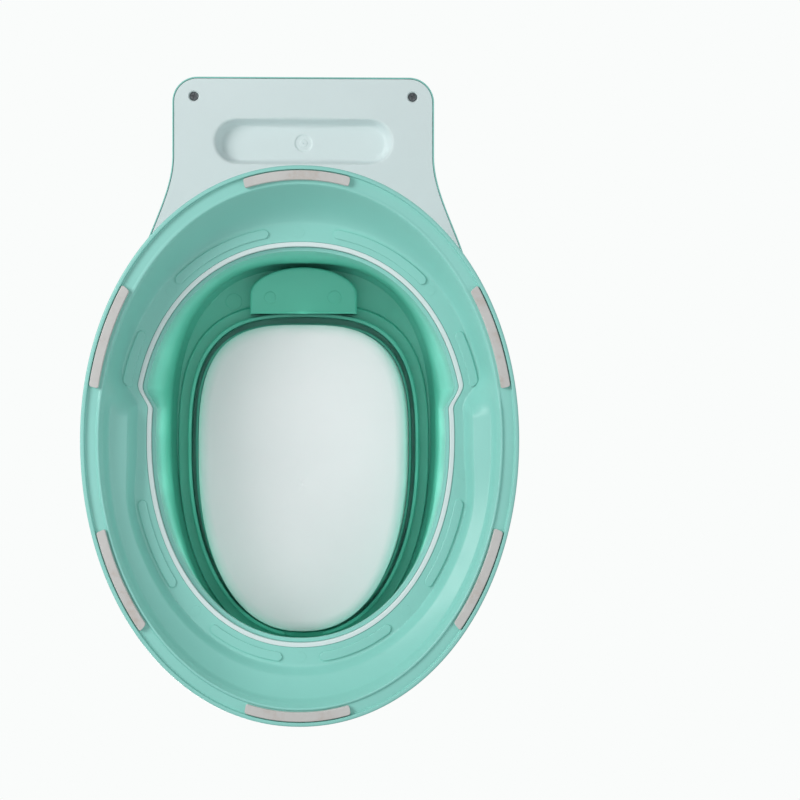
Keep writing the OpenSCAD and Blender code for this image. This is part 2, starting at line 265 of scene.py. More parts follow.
def bowl_row(d, z, t=T):
    """Outer face of the bowl's wall, inset by d, at height z."""
    low = bowl_low[2] + BOWL_FOOT
    u = (z - low) / (bowl_high[2] - low)
    sizes = (size + growth * u - d for size, growth in zip(BOWL, BOWL_GROWTH))
    radius = egg_radius(t, *sizes, *BOWL_SQUARE)
    return polar(radius, t, OPENING_Y, z)


# ---------------------------------------------------------------- mesh tools

def rounded(steps, closed=True):
    """Rows from (row, radius) pairs, with each corner rounded by its radius."""
    turns = 4
    rows = []
    last = len(steps) - 1
    for k, (corner, radius) in enumerate(steps):
        if radius == 0 or (not closed and k in (0, last)):
            rows.append(corner)
            continue
        before = steps[k - 1][0] - corner
        after = steps[(k + 1) % len(steps)][0] - corner
        reach_before = np.linalg.norm(before, axis=1, keepdims=True)
        reach_after = np.linalg.norm(after, axis=1, keepdims=True)
        start = corner + before / reach_before * np.minimum(radius, 0.48 * reach_before)
        end = corner + after / reach_after * np.minimum(radius, 0.48 * reach_after)
        for u in np.linspace(0, 1, turns + 1):
            rows.append((1 - u) ** 2 * start + 2 * u * (1 - u) * corner + u * u * end)
    return rows


def loft(rows, closed=True, wrap=True):
    """Vertices and faces over rows. closed joins the last row to the first, and wrap each row to itself.
    Open ends are closed with a flat face."""
    m, n = len(rows), len(rows[0])
    grid = np.arange(m * n).reshape(m, n)
    across = grid if closed else grid[:-1]
    upper = np.roll(grid, -1, axis=0) if closed else grid[1:]
    if wrap:
        faces = np.stack([across, upper, np.roll(upper, -1, axis=1), np.roll(across, -1, axis=1)], -1)
    else:
        faces = np.stack([across[:, :-1], upper[:, :-1], upper[:, 1:], across[:, 1:]], -1)
    faces = faces.reshape(-1, 4).tolist()
    if not closed:
        faces += [grid[0].tolist(), grid[-1][::-1].tolist()]
    if not wrap:
        faces += [grid[:, 0][::-1].tolist(), grid[:, -1].tolist()]
    return np.concatenate(rows), faces


def make_object(name, shells):
    """One object from closed shells, each a pair of vertices in millimetres and faces."""
    points, faces, start = [], [], 0
    for shell_points, shell_faces in shells:
        points.append(shell_points)
        faces += [[i + start for i in f] for f in shell_faces]
        start += len(shell_points)
    mesh = bpy.data.meshes.new(name)
    mesh.from_pydata((np.concatenate(points) * MM).tolist(), [], faces)
    work = bmesh.new()
    work.from_mesh(mesh)
    bmesh.ops.recalc_face_normals(work, faces=work.faces[:])
    work.to_mesh(mesh)
    work.free()
    made = bpy.data.objects.new(name, mesh)
    bpy.context.scene.collection.objects.link(made)
    return made


def carve(target, *shells):
    """Cuts closed shells out of an object."""
    for shell in shells:
        cutter = make_object("cutter", [shell])
        change = target.modifiers.new("cut", "BOOLEAN")
        change.operation = "DIFFERENCE"
        change.solver = "EXACT"
        change.object = cutter
        graph = bpy.context.evaluated_depsgraph_get()
        mesh = bpy.data.meshes.new_from_object(target.evaluated_get(graph))
        target.modifiers.clear()
        target.data = mesh
        bpy.data.objects.remove(cutter)


def finish_piece(made, body, material, nodes):
    """Shading, material, body, and hiding of the CAD nodes that the piece stands for."""
    made.data.polygons.foreach_set("use_smooth", [True] * len(made.data.polygons))
    made.data.set_sharp_from_angle(angle=math.radians(SHARP_ANGLE))
    weighted = made.modifiers.new("normals", "WEIGHTED_NORMAL")
    weighted.keep_sharp = True
    made.data.materials.clear()
    made.data.materials.append(material)
    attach(made, body)
    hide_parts(*nodes)
    return made


def bar(centre, side, half_width, low, high, end_round, edge):
    """A bar along the points centre, where side is the direction across it at each point.
    Its ends are rounded by end_round, and its lower edges by edge. low is its free side."""
    lengths = np.concatenate([[0], np.cumsum(np.linalg.norm(np.diff(centre, axis=0), axis=1))])
    total = lengths[-1]
    end = end_round * (1 - np.cos(np.linspace(0.03, math.pi / 2, 9)))
    middle = np.linspace(end_round, total - end_round, 60)[1:-1]
    along = np.concatenate([end, middle, total - end[::-1]])
    place = np.stack([np.interp(along, lengths, centre[:, k]) for k in range(2)], 1)
    across = np.stack([np.interp(along, lengths, side[:, k]) for k in range(2)], 1)
    from_end = np.minimum(np.minimum(along, total - along), end_round)
    trim = end_round - np.sqrt(end_round ** 2 - (end_round - from_end) ** 2)
    half = half_width - trim
    soft = np.minimum(edge, 0.7 * half)
    rise = high - low

    def line(offset, z):
        return np.column_stack([place + across * offset[:, None], np.broadcast_to(z, along.shape)])

    turn = np.linspace(0, math.pi / 2, 5)
    rows = [line(-half, high)]
    rows += [line(-half + soft * (1 - math.cos(a)), low + soft * (1 - math.sin(a))) for a in turn]
    rows += [line((half - soft) * f, low) for f in (-0.5, 0, 0.5)]
    rows += [line(half - soft * (1 - math.cos(a)), low + soft * (1 - math.sin(a))) for a in turn[::-1]]
    rows += [line(half, high), line(half * 0, high + rise * 0.02)]
    return loft(rows, closed=True, wrap=False)


def disc(x, y, z, radius, drop):
    """A shallow round mark that stands drop below height z."""
    turn = np.linspace(0, 2 * math.pi, 40, endpoint=False)

    def circle(r, height):
        return polar(r, turn, y, height) + np.array([x, 0, 0])

    steps = [(circle(radius, z + 1), 0), (circle(radius, z - drop), drop * 0.9),
             (circle(radius * 0.1, z - drop), 0)]
    return loft(rounded(steps, closed=False), closed=False)


# ---------------------------------------------------------------- materials

class Nodes:
    """A small helper over one material's node tree."""

    def __init__(self, name, backdrop=False):
        self.material = bpy.data.materials.new(name)
        self.material.use_nodes = True
        self.tree = self.material.node_tree
        self.tree.nodes.clear()
        self.out = self.tree.nodes.new("ShaderNodeOutputMaterial")
        self.shader = self.tree.nodes.new("ShaderNodeBsdfPrincipled")
        if not backdrop:
            self.link(self.shader.outputs[0], self.out.inputs["Surface"])
        self.place = self.tree.nodes.new("ShaderNodeTexCoord").outputs["Object"]

    def link(self, a, b):
        self.tree.links.new(a, b)

    def noise(self, scale, detail=3.0, rough=0.55, stretch=None):
        place = self.place
        if stretch:
            turn = self.tree.nodes.new("ShaderNodeMapping")
            turn.inputs["Scale"].default_value = stretch
            self.link(place, turn.inputs["Vector"])
            place = turn.outputs[0]
        made = self.tree.nodes.new("ShaderNodeTexNoise")
        made.inputs["Scale"].default_value = scale
        made.inputs["Detail"].default_value = detail
        made.inputs["Roughness"].default_value = rough
        self.link(place, made.inputs["Vector"])
        return made.outputs["Fac"]

    def ramp(self, value, stops):
        made = self.tree.nodes.new("ShaderNodeValToRGB")
        made.color_ramp.elements[0].position = stops[0][0]
        made.color_ramp.elements[1].position = stops[-1][0]
        for position, _ in stops[1:-1]:
            made.color_ramp.elements.new(position)
        for element, (_, colour) in zip(made.color_ramp.elements, stops):
            element.color = (*colour, 1)
        self.link(value, made.inputs["Fac"])
        return made.outputs["Color"]

    def spread(self, value, low, high, start=0.3, end=0.7):
        made = self.tree.nodes.new("ShaderNodeMapRange")
        made.inputs["From Min"].default_value = start
        made.inputs["From Max"].default_value = end
        made.inputs["To Min"].default_value = low
        made.inputs["To Max"].default_value = high
        self.link(value, made.inputs["Value"])
        return made.outputs["Result"]

    def bump(self, value, distance, strength=1.0, under=None):
        made = self.tree.nodes.new("ShaderNodeBump")
        made.inputs["Distance"].default_value = distance
        made.inputs["Strength"].default_value = strength
        self.link(value, made.inputs["Height"])
        if under is not None:
            self.link(under, made.inputs["Normal"])
        return made.outputs["Normal"]

    def set(self, **values):
        for name, value in values.items():
            self.shader.inputs[name.replace("_", " ")].default_value = value


def moulded(name, dark, light, rough, grain, sheen=0.5, soft=0.0):
    """Injection-moulded polypropylene: cloudy colour, uneven gloss, a fine skin and slow flow waves."""
    n = Nodes(name)
    cloud = n.noise(9, detail=4)
    n.link(n.ramp(cloud, [(0.3, dark), (0.7, light)]), n.shader.inputs["Base Color"])
    n.link(n.spread(n.noise(38, detail=5), rough - 0.05, rough + 0.06), n.shader.inputs["Roughness"])
    waves = n.bump(n.noise(26, detail=1), 0.0009, 0.12)
    skin = n.bump(n.noise(grain, detail=2, rough=0.6), 0.00006, 0.5, under=waves)
    n.link(skin, n.shader.inputs["Normal"])
    n.set(IOR=1.49, Specular_IOR_Level=sheen)
    if soft:
        n.set(Subsurface_Weight=soft, Subsurface_Scale=0.008, Subsurface_Radius=(1.0, 1.0, 1.0))
    return n.material


def mint_plastic():
    return moulded("mint_plastic", (0.285, 0.665, 0.590), (0.310, 0.705, 0.630), 0.38, 1500)


def white_plastic():
    return moulded("white_plastic", (0.76, 0.85, 0.85), (0.79, 0.88, 0.88), 0.52, 1900, sheen=0.35)


def frosted_plastic():
    return moulded("frosted_plastic", (0.72, 0.71, 0.72), (0.76, 0.74, 0.75), 0.46, 1700, sheen=0.4,
                   soft=0.7)


def strip_rubber():
    """Soft thermoplastic rubber, with faint warm stains, dust specks and a matt grain."""
    n = Nodes("strip_rubber")
    stain = n.ramp(n.noise(42, detail=5, rough=0.7),
                   [(0.30, (0.54, 0.47, 0.42)), (0.46, (0.61, 0.59, 0.57)), (0.7, (0.65, 0.64, 0.62))])
    n.link(stain, n.shader.inputs["Base Color"])
    n.link(n.spread(n.noise(90, detail=4), 0.68, 0.86), n.shader.inputs["Roughness"])
    grain = n.bump(n.noise(1300, detail=2), 0.00018, 0.6, under=n.bump(n.noise(120, detail=2), 0.0006, 0.2))
    n.link(grain, n.shader.inputs["Normal"])
    n.set(Specular_IOR_Level=0.25, Sheen_Weight=0.08, Sheen_Roughness=0.6)
    return n.material


def screw_steel():
    """Zinc-plated steel with turned scratches and a slightly dull skin."""
    n = Nodes("screw_steel")
    patch = n.ramp(n.noise(500, detail=4), [(0.3, (0.14, 0.15, 0.16)), (0.7, (0.30, 0.31, 0.32))])
    n.link(patch, n.shader.inputs["Base Color"])
    n.link(n.spread(n.noise(700, detail=3), 0.28, 0.48), n.shader.inputs["Roughness"])
    n.link(n.bump(n.noise(2500, detail=2, stretch=(1, 1, 0.2)), 0.00005, 0.5), n.shader.inputs["Normal"])
    n.set(Metallic=1.0)
    return n.material


MINT = mint_plastic()
WHITE = white_plastic()
FROSTED = frosted_plastic()
RUBBER = strip_rubber()
STEEL = screw_steel()


# ---------------------------------------------------------------- base

# How far forward of the shoulders a direction lies, from 0 behind them to 1
FRONT = ease((SIDE - SHOULDER - 4) / SHOULDER_SPAN)
# Width of the flange, which narrows beside the shoulders
flange_w = 12 - 6.2 * ease((SIDE - 68) / 9) * (1 - ease((SIDE - 92) / 24))
# Strength of the shelf in the skirt's underside, which fades towards the front
STEP = FRONT * (1 - 0.6 * ease((SIDE - 118) / 50))


def flange_edge(extra=0.0):
    """Outer edge of the flange, where the flared skirt begins."""
    away = foot_row(0, 0) - np.array([0, BASE_Y, 0])
    reach = np.linalg.norm(away[:, :2], axis=1)
    return away * (1 + (flange_w + extra) / reach)[:, None] + np.array([0, BASE_Y, 0])


def skirt_row(u, z):
    """Row of the flared skirt, a share u of the way in from the lip to the flange."""
    return between(base_row(13, 0), flange_edge(), u, z)


def flare(u):
    """Height of the plain skirt a share u of the way in."""
    return lip_top + (flange_z - lip_top) * (1 - (1 - u) ** 1.6)


def skirt_under(u):
    """Height of the skirt's underside, with a shelf in front of the shoulders."""
    shelf = lip_top + 8.6 * ease(u / 0.17) + 5.2 * np.clip((u - 0.1) / 0.7, 0, 1)
    shelf = shelf + 13.4 * ease((u - 0.72) / 0.28)
    height = flare(u) * (1 - STEP) + shelf * STEP
    return np.minimum(height, flare(u) + 1.6)


def base_ring():
    outer = [(base_row(0, lip_z), 1.3), (base_row(0, lip_top), 2.4), (base_row(6, 6.8), 3)]
    outer += [(skirt_row(u, np.minimum(flare(u) + 3.5, flange_top)), 0) for u in np.linspace(0.04, 0.98, 26)]
    inner = [(flange_edge(-2) * [1, 1, 0] + [0, 0, flange_top], 0), (foot_row(-skin_gap, flange_top), 0.4),
             (foot_row(-skin_gap, flange_z), 0.3), (foot_row(-2, flange_z), 0)]
    inner += [(between(foot_row(-2, 0), flange_edge(-0.8), 1, flange_z), 0)]
    under = [(skirt_row(u, skirt_under(u)), 0) for u in np.linspace(0.98, 0.0, 34)]
    ridge = 2.0 + 1.2 * (1 - FRONT)
    channel = [(base_row(11.9, ridge), 0.7), (base_row(10.6, ridge), 0.5), (base_row(9.9, groove_z), 0.5),
               (base_row(2.9, groove_z), 0.5), (base_row(2.6, lip_z), 0.6)]
    shells = [loft(rounded(outer + inner + under + channel))]
    # Raised pads under the flange: first and last direction, on each side
    pad_middle, pad_half, pad_height = 7.1, 3.1, 1.3
    for first, last in ((9, 38.5), (55.7, 73), (111, 139.4), (154.5, 175)):
        for side in (1, -1):
            t = np.radians(np.linspace(first, last, 80) * side)
            centre = foot_row(-pad_middle, 0, t)
            outward = foot_row(-pad_middle - 1, 0, t) - centre
            outward /= np.linalg.norm(outward, axis=1, keepdims=True)
            low, high = flange_z - pad_height, flange_z + 0.5
            shells.append(bar(centre, outward, pad_half, low, high, pad_half, 0.6))
    # Ejector marks between them
    mark_middle, mark_r, mark_height = 6.2, 3.4, 0.12
    for angle in (0.5, 41, 102.5, 148.5, 180, -41, -78, -102.5, -148.5):
        spot = foot_row(-mark_middle, 0, np.radians(np.array([angle])))[0]
        shells.append(disc(spot[0], spot[1], flange_z, mark_r, mark_height))
    made = make_object("flared_base", shells)
    return finish_piece(made, "chair", MINT, ["base_ring"])


def grip_strips():
    """The six anti-slip strips, each between the directions that its CAD node spans."""
    strip_middle = 6.4
    for name in ("front", "rear", "front_left", "front_right", "rear_left", "rear_right"):
        node = "grip_strip_" + name
        points = np.array([v.co for v in frame["nodes"][node].data.vertices]) / MM
        angle = np.degrees(np.arctan2(points[:, 0], points[:, 1] - BASE_Y))
        if name == "front":
            angle = angle % 360
        t = np.radians(np.linspace(angle.min(), angle.max(), 90))
        centre = base_row(strip_middle, 0, t)
        outward = base_row(strip_middle - 1, 0, t) - centre
        outward /= np.linalg.norm(outward, axis=1, keepdims=True)
        shell = bar(centre, outward, 3.1, strip_low[2], groove_z + 0.2, 1.4, 0.7)
        made = make_object("tread_" + name, [shell])
        finish_piece(made, "chair", RUBBER, [node])


# ---------------------------------------------------------------- pedestal and seat

def pedestal():
    heights = np.linspace(body_z, pedestal_top - 3, 34)
    steps = [(foot_row(0, foot_z), 0.4), (foot_row(0, flange_top + 0.05), 0.2),
             (foot_row(-foot_lip, flange_top + 0.05), 0.3), (foot_row(-foot_lip, flange_top + 2.5), 1.4),
             (foot_row(-1, flange_top + 3.5), 3)]
    steps += [(body_row(0, z), 0) for z in heights]
    steps += [(body_row(0, pedestal_top), 0.6), (body_row(pedestal_wall, pedestal_top), 0.6)]
    steps += [(body_row(pedestal_wall, z), 0) for z in heights[::-1]]
    steps += [(foot_row(pedestal_wall, flange_top), 0), (foot_row(pedestal_wall, foot_z), 0.8)]
    made = make_object("pedestal_body", [loft(rounded(steps))])
    return finish_piece(made, "chair", WHITE, ["pedestal"])


def d_shape(half, end, r, start, z):
    """D-shaped outline with round rear corners, from y = start to y = end."""
    r = min(r, end - start - 0.5)
    turn = np.linspace(0, math.pi / 2, 18)
    corner = np.stack([half - r + r * np.cos(turn), end - r + r * np.sin(turn)], 1)
    side = np.stack([np.full(12, half), np.linspace(start, end - r, 13)[:-1]], 1)
    top = np.stack([np.linspace(half - r, -(half - r), 14)[1:-1], np.full(12, end)], 1)
    right = np.concatenate([side, corner])
    left = right[::-1] * [-1, 1]
    base = np.stack([np.linspace(-half, half, 14)[1:-1], np.full(12, start)], 1)
    flat = np.concatenate([right, top, left, base])
    return np.column_stack([flat, np.broadcast_to(z, len(flat))])


def pocket_row(d, z, start):
    """Arch-shaped outline of the handle pocket, inset by d: straight sides and a half-ellipse behind them."""
    half, arch, end = (size - d for size in POCKET)
    turn = np.linspace(0, math.pi, 61)
    side = np.stack([np.full(8, half), np.linspace(start, end - arch, 9)[:-1]], 1)
    top = np.stack([half * np.cos(turn), end - arch + arch * np.sin(turn)], 1)
    base = np.stack([np.linspace(-half, half, 14)[1:-1], np.full(12, start)], 1)
    flat = np.concatenate([side, top, side[::-1] * [-1, 1], base])
    return np.column_stack([flat, np.broadcast_to(z, len(flat))])


def seat_shell():
    heights = np.linspace(seat_low[2] - 5, 190, 20)
    steps = [(liner_row(0, z), 0) for z in heights]
    steps += [(liner_row(-0.6, pedestal_top), 0.3), (seat_row(3, pedestal_top), 0.5),
              (seat_row(3, skirt_z), 0.5), (seat_row(0, skirt_z), 0.9), (seat_row(0.2, seat_z - 0.4), 7)]
    for f in (0.85, 0.7, 0.5, 0.3, 0.15):
        z = seat_z + CROWN * (1 - (2 * f - 1) ** 2)
        steps.append((between(opening_row(-11.5, 0), seat_row(8, 0), f, z), 0))
    steps += [(opening_row(-11.5, seat_z), 1.4), (opening_row(-9.5, ledge_z), 0.9),
              (opening_row(0, ledge_z), 1.6),
              (opening_row(0, lip_bottom), 0.8), (opening_row(-2.5, lip_bottom), 0.8),
              (opening_row(-2.5, ledge_z - 3), 1.2), (opening_row(-10, ledge_z - 3), 0.8),
              (opening_row(-10.8, seat_under), 0.8), (liner_row(liner_t + 3, seat_under), 0),
              (liner_row(liner_t, 193), 3)]
    steps += [(liner_row(liner_t, z), 0) for z in heights[::-1]]
    shell = make_object("seat_body", [loft(rounded(steps))])
    # The pocket is cut behind the lip, and its cup is set in from a little ahead of the cut
    lip_back = OPENING_Y + opening_rear + 2.6
    hole = [pocket_row(pocket_wall, z, lip_back) for z in (pocket_low + 2, pocket_low + 52)]
    notch = d_shape(14, 0, 3, -14, 0)
    notch[:, 1] = OPENING_Y - opening_front + 5 + notch[:, 1]
    low = level(notch, lip_bottom - 4)
    high = level(notch, lip_bottom + 5)
    carve(shell, loft(hole, closed=False), loft([low, high], closed=False))
    start = lip_back - 0.4
    rim = pocket_row(0, 0, start)
    rim_z = ledge_z - 1 + 3.2 * ease((rim[:, 1] - 56.5) / 2)
    inset = pocket_wall - 0.05
    cup = [(pocket_row(inset, pocket_low + 2.6, start), 0), (level(pocket_row(inset, 0, start), rim_z), 0.4),
           (level(rim, rim_z), 0.4), (pocket_row(0, pocket_low, start), 2.2),
           (pocket_row(6, pocket_low, start + 4), 0)]
    parts = [loft(rounded(cup, closed=False), closed=False)]
    # Ejector marks on the pocket and beside it
    marks = ((-22.4, 63, pocket_low, 4.9), (24.2, 63, pocket_low, 4.2), (51.5, 61, seat_under, 6))
    for x, y, z, radius in marks:
        parts.append(disc(x, y, z, radius, 0.45))
    cup_object = make_object("cup", parts)
    work = bmesh.new()
    work.from_mesh(shell.data)
    work.from_mesh(cup_object.data)
    work.to_mesh(shell.data)
    work.free()
    bpy.data.objects.remove(cup_object)
    return finish_piece(shell, "chair", MINT, ["seat_shell"])


# ---------------------------------------------------------------- back

def deck_side(y, d):
    return deck_half - d + DECK_FLARE * ease((FLARE_FROM - y) / FLARE_LENGTH)


def deck_row(d, z):
    """Outline of the rear deck, inset by d: flared sides, round rear corners and a hollow front arc."""
    arc = ARC_R + skin_gap + d
    tip = deck_half + DECK_FLARE - d
    y_tip = ARC_Y + math.sqrt(arc * arc - tip * tip)
    y = np.linspace(y_tip, FLARE_FROM, 26)[:-1]
    flared = np.stack([deck_side(y, d), y], 1)
    y = np.linspace(FLARE_FROM, deck_rear - deck_r, 12)[:-1]
    plain = np.stack([np.full(len(y), deck_half - d), y], 1)
    turn = np.linspace(0, math.pi / 2, 16)
    corner = np.stack([deck_half - deck_r + (deck_r - d) * np.cos(turn),
                       deck_rear - deck_r + (deck_r - d) * np.sin(turn)], 1)
    right = np.concatenate([flared, plain, corner])
    half = deck_half - deck_r
    rear = np.stack([np.linspace(half, -half, 26)[1:-1], np.full(24, deck_rear - d)], 1)
    left = right[::-1] * [-1, 1]
    reach = math.asin(flared[0, 0] / arc)
    turn = np.linspace(-reach, reach, 62)[1:-1]
    front = np.stack([arc * np.sin(turn), ARC_Y + arc * np.cos(turn)], 1)
    flat = np.concatenate([right, rear, left, front])
    return np.column_stack([flat, np.broadcast_to(z, len(flat))])


def back_row(d, z, forward=0.0):
    """Rounded rectangle of the backrest, inset by d. It narrows and leans back towards its top."""
    u = (z - deck_top) / (back_top - deck_top)
    half = deck_half - 7 * u - d
    ahead = back_front + 20 * u + d - forward
    behind = deck_rear - 2.5 * max(0.0, u) - d
    r = deck_r - d
    points = []
    centres = ((half - r, behind - r), (half - r, ahead + r), (-half + r, ahead + r), (-half + r, behind - r))
    for quarter, (x, y) in enumerate(centres):
        turn = np.radians(np.linspace(90 * quarter, 90 * quarter + 90, 17))
        points.append(np.stack([x + r * np.sin(turn), y + r * np.cos(turn)], 1))
    flat = []
    for k, arc in enumerate(points):
        flat.append(arc)
        following = points[(k + 1) % 4][0]
        f = np.linspace(0, 1, 16)[1:-1, None]
        flat.append(arc[-1] * (1 - f) + following * f)
    flat = np.concatenate(flat)
    return np.column_stack([flat, np.broadcast_to(z, len(flat))])


def back_shell():
    deck = [(deck_row(deck_wall, 196), 0), (deck_row(deck_wall, deck_z + rebate), 0.3),
            (deck_row(border, deck_z + rebate), 0.3), (deck_row(border, deck_z), 0.2),
            (deck_row(0, deck_z), 0.4), (deck_row(0, deck_top), 3.5), (deck_row(5, deck_top), 0)]
    foot = 16
    rows = []
    for turn in np.linspace(0.02, math.pi / 2, 9):
        rows.append(back_row(0.02, deck_top - 0.2 + foot * (1 - math.cos(turn)),
                             forward=foot * (1 - math.sin(turn))))
    rows += [back_row(0.02, z) for z in np.linspace(deck_top + foot + 6, back_top - crown, 22)]
    for turn in np.linspace(0, math.pi / 2, 9)[1:]:
        rows.append(back_row(crown * (1 - math.cos(turn)), back_top - crown * (1 - math.sin(turn))))
    rows = [back_row(1.5, deck_top - 6, forward=foot)] + rows
    shells = [loft(rounded(deck, closed=False), closed=False), loft(rows, closed=False)]
    made = make_object("back_body", shells)
    return finish_piece(made, "chair", MINT, ["back_shell"])


def back_cover():
    """Panel under the deck, with a soft-edged finger recess and a round dimple in its middle."""
    outline = deck_row(border + 0.25, 0)[:, :2] - [0, grip_y]
    dense = np.concatenate([np.linspace(a, b, 12, endpoint=False)
                            for a, b in zip(outline, np.roll(outline, -1, 0))])
    angle = np.arctan2(dense[:, 0], dense[:, 1])
    order = np.argsort(angle)
    reach = np.hypot(dense[:, 0], dense[:, 1])[order]
    turn = np.linspace(-math.pi, math.pi, ROUND, endpoint=False)
    edge = np.interp(turn, angle[order], reach, period=2 * math.pi)

    def pill(grow, z):
        """Outline of the finger grip, a stadium, grown outward."""
        r = grip_r + grow
        c = grip_half - grip_r
        s, k = np.abs(np.sin(turn)), np.abs(np.cos(turn))
        straight = r / np.maximum(k, 1e-6)
        round_end = c * s + np.sqrt(np.maximum(r * r - (c * k) ** 2, 0))
        radius = np.where(straight * s <= c, straight, round_end)
        return polar(radius, turn, grip_y, z)

    def rim(z):
        return polar(edge, turn, grip_y, z)

    def hole(radius, z):
        return polar(np.full(ROUND, radius), turn, grip_y, z)

    z0 = cover_low[2]
    floor = deck_z + grip_depth
    steps = [(rim(z0 + cover_t), 0.3), (rim(z0), 0.5)]
    steps += [(rim(z0) * (1 - f) + pill(6, z0) * f, 0) for f in (0.3, 0.6, 0.9)]
    steps += [(pill(1.6, z0), 2.6), (pill(-1.2, floor), 4.5), (pill(-6.6, floor), 0), (hole(6.6, floor), 0.7),
              (hole(5.6, floor + 0.9), 0.6), (hole(2.9, floor + 0.9), 0.2), (hole(2.5, floor + 0.5), 0.2),
              (hole(0.3, floor + 0.5), 0)]
    steps += [(hole(0.3, floor + 2.3), 0), (pill(2, floor + 2.3), 0.5), (pill(3.6, z0 + cover_t), 0.5)]
    made = make_object("deck_cover", [loft(rounded(steps))])
    # Countersunk holes for the screws
    bore_r, mouth_r, points = 3.4, 4.7, 48
    for side in (-1, 1):
        spot = np.linspace(0, 2 * math.pi, points, endpoint=False)
        bore = polar(np.full(points, bore_r), spot, screw_y, 0) + [side * screw_x, 0, 0]
        mouth = polar(np.full(points, mouth_r), spot, screw_y, 0) + [side * screw_x, 0, 0]
        cutter = [level(mouth, z0 - 0.5), level(bore, z0 + 0.8), level(bore, z0 + 2.1)]
        carve(made, loft(cutter, closed=False))
    return finish_piece(made, "chair", WHITE, ["back_cover"])


# ---------------------------------------------------------------- bowl

def bowl():
    """Removable pot with a softly domed bottom and a gate mark in its middle."""
    centre = np.array([0, BOWL_MIDDLE, 0])
    low = bowl_low[2]
    edge, wall = bowl_edge, bowl_wall

    def bottom(share, d, z, dome):
        flat = level(bowl_row(d + edge, low + edge), 0)
        mark = 0.4 * (1 - ease(share / 0.02))
        return level(centre + (flat - centre) * share, z + dome * (1 - share ** 2) + mark)

    shares = [0.004, 0.012, 0.02, 0.12, 0.3, 0.5, 0.7, 0.85, 0.96]
    steps = [bottom(s, 0, low, 0.8) for s in shares]
    for turn in np.linspace(0, math.pi / 2, 12):
        steps.append(level(bowl_row(edge * (1 - math.sin(turn)), low + edge),
                           low + edge * (1 - math.cos(turn))))
    steps += [bowl_row(0, z) for z in np.linspace(low + edge + 4, bowl_high[2] - 1.2, 20)]
    rim = [bowl_row(0, bowl_high[2]), bowl_row(wall, bowl_high[2])]
    steps += rounded([(steps[-1], 0), (rim[0], 1), (rim[1], 1), (bowl_row(wall, bowl_high[2] - 1.2), 0)],
                     closed=False)[1:-1]
    steps += [bowl_row(wall, z) for z in np.linspace(bowl_high[2] - 1.2, low + edge + 4, 20)]
    inner = edge - wall
    for turn in np.linspace(math.pi / 2, 0, 12):
        steps.append(level(bowl_row(wall + inner * (1 - math.sin(turn)), low + edge),
                           low + wall + inner * (1 - math.cos(turn))))
    steps += [bottom(s, 0, low + wall, 0.8) for s in shares[::-1]]
    made = make_object("pot", [loft(steps, closed=False)])
    return finish_piece(made, "bowl", FROSTED, ["bowl"])


def bowl_collar():
    top = collar_high[2]
    low = ledge_z + 0.5
    ring = [(bowl_row(-2.1, collar_low[2]), 0.6), (bowl_row(-2.1, low), 0.6), (opening_row(-7.3, low), 0.7),
            (opening_row(-7.3, low + 2.6), 1.4), (opening_row(-4.2, top - 0.2), 3), (bowl_row(0.6, top), 1.6),
            (bowl_row(2.8, bowl_high[2] + 0.25), 0.8), (bowl_row(-0.3, bowl_high[2] + 0.25), 0.2),
            (bowl_row(-0.3, collar_low[2]), 0.5)]

    def tongue(d, z):
        half, end, r, root = TONGUE
        return d_shape(half - d, end - d, r - d, root, z)

    handle = [(tongue(tongue_wall, top - 3.6), 0), (tongue(tongue_wall, low), 0.3), (tongue(0, low), 0.6),
              (tongue(0, top - 0.8), 1.8), (tongue(5, top - 0.8), 0)]
    made = make_object("pot_collar", [loft(rounded(ring)), loft(rounded(handle, closed=False), closed=False)])
    return finish_piece(made, "bowl", MINT, ["bowl_collar"])


def splash_guard():
    span = 58
    ends_z = 214
    angle = np.linspace(180 - span, 180 + span, 150)
    t = np.radians(angle)
    rise = np.clip(np.cos(np.radians(90 * (angle - 180) / span)), 0, 1) ** 1.4
    peak = ends_z + (guard_high[2] - 0.2 - ends_z) * rise

    def wall(d, z):
        return level(bowl_row(d, bowl_high[2], t), z)

    low = guard_low[2]
    steps = [(wall(5.8, low), 0.3), (wall(3.4, low), 0.3), (wall(3.4, low + 0.6), 0.2),
             (wall(-2, low + 0.6), 0.8), (wall(-2, low + 2.6), 0.8), (wall(2.4, low + 3), 1.5),
             (wall(1.4, peak), 1), (wall(3.8, peak + 0.2), 1)]
    made = make_object("splash_shield", [loft(rounded(steps), wrap=False)])
    return finish_piece(made, "guard", MINT, ["splash_guard"])


def screws():
    for name in ("back_screw_left", "back_screw_right"):
        node = frame["nodes"][name]
        node.data.materials.clear()
        node.data.materials.append(STEEL)


base_ring()
grip_strips()
pedestal()
seat_shell()
back_shell()
back_cover()
bowl()
bowl_collar()
splash_guard()
screws()


# ---------------------------------------------------------------- stage, lights and camera

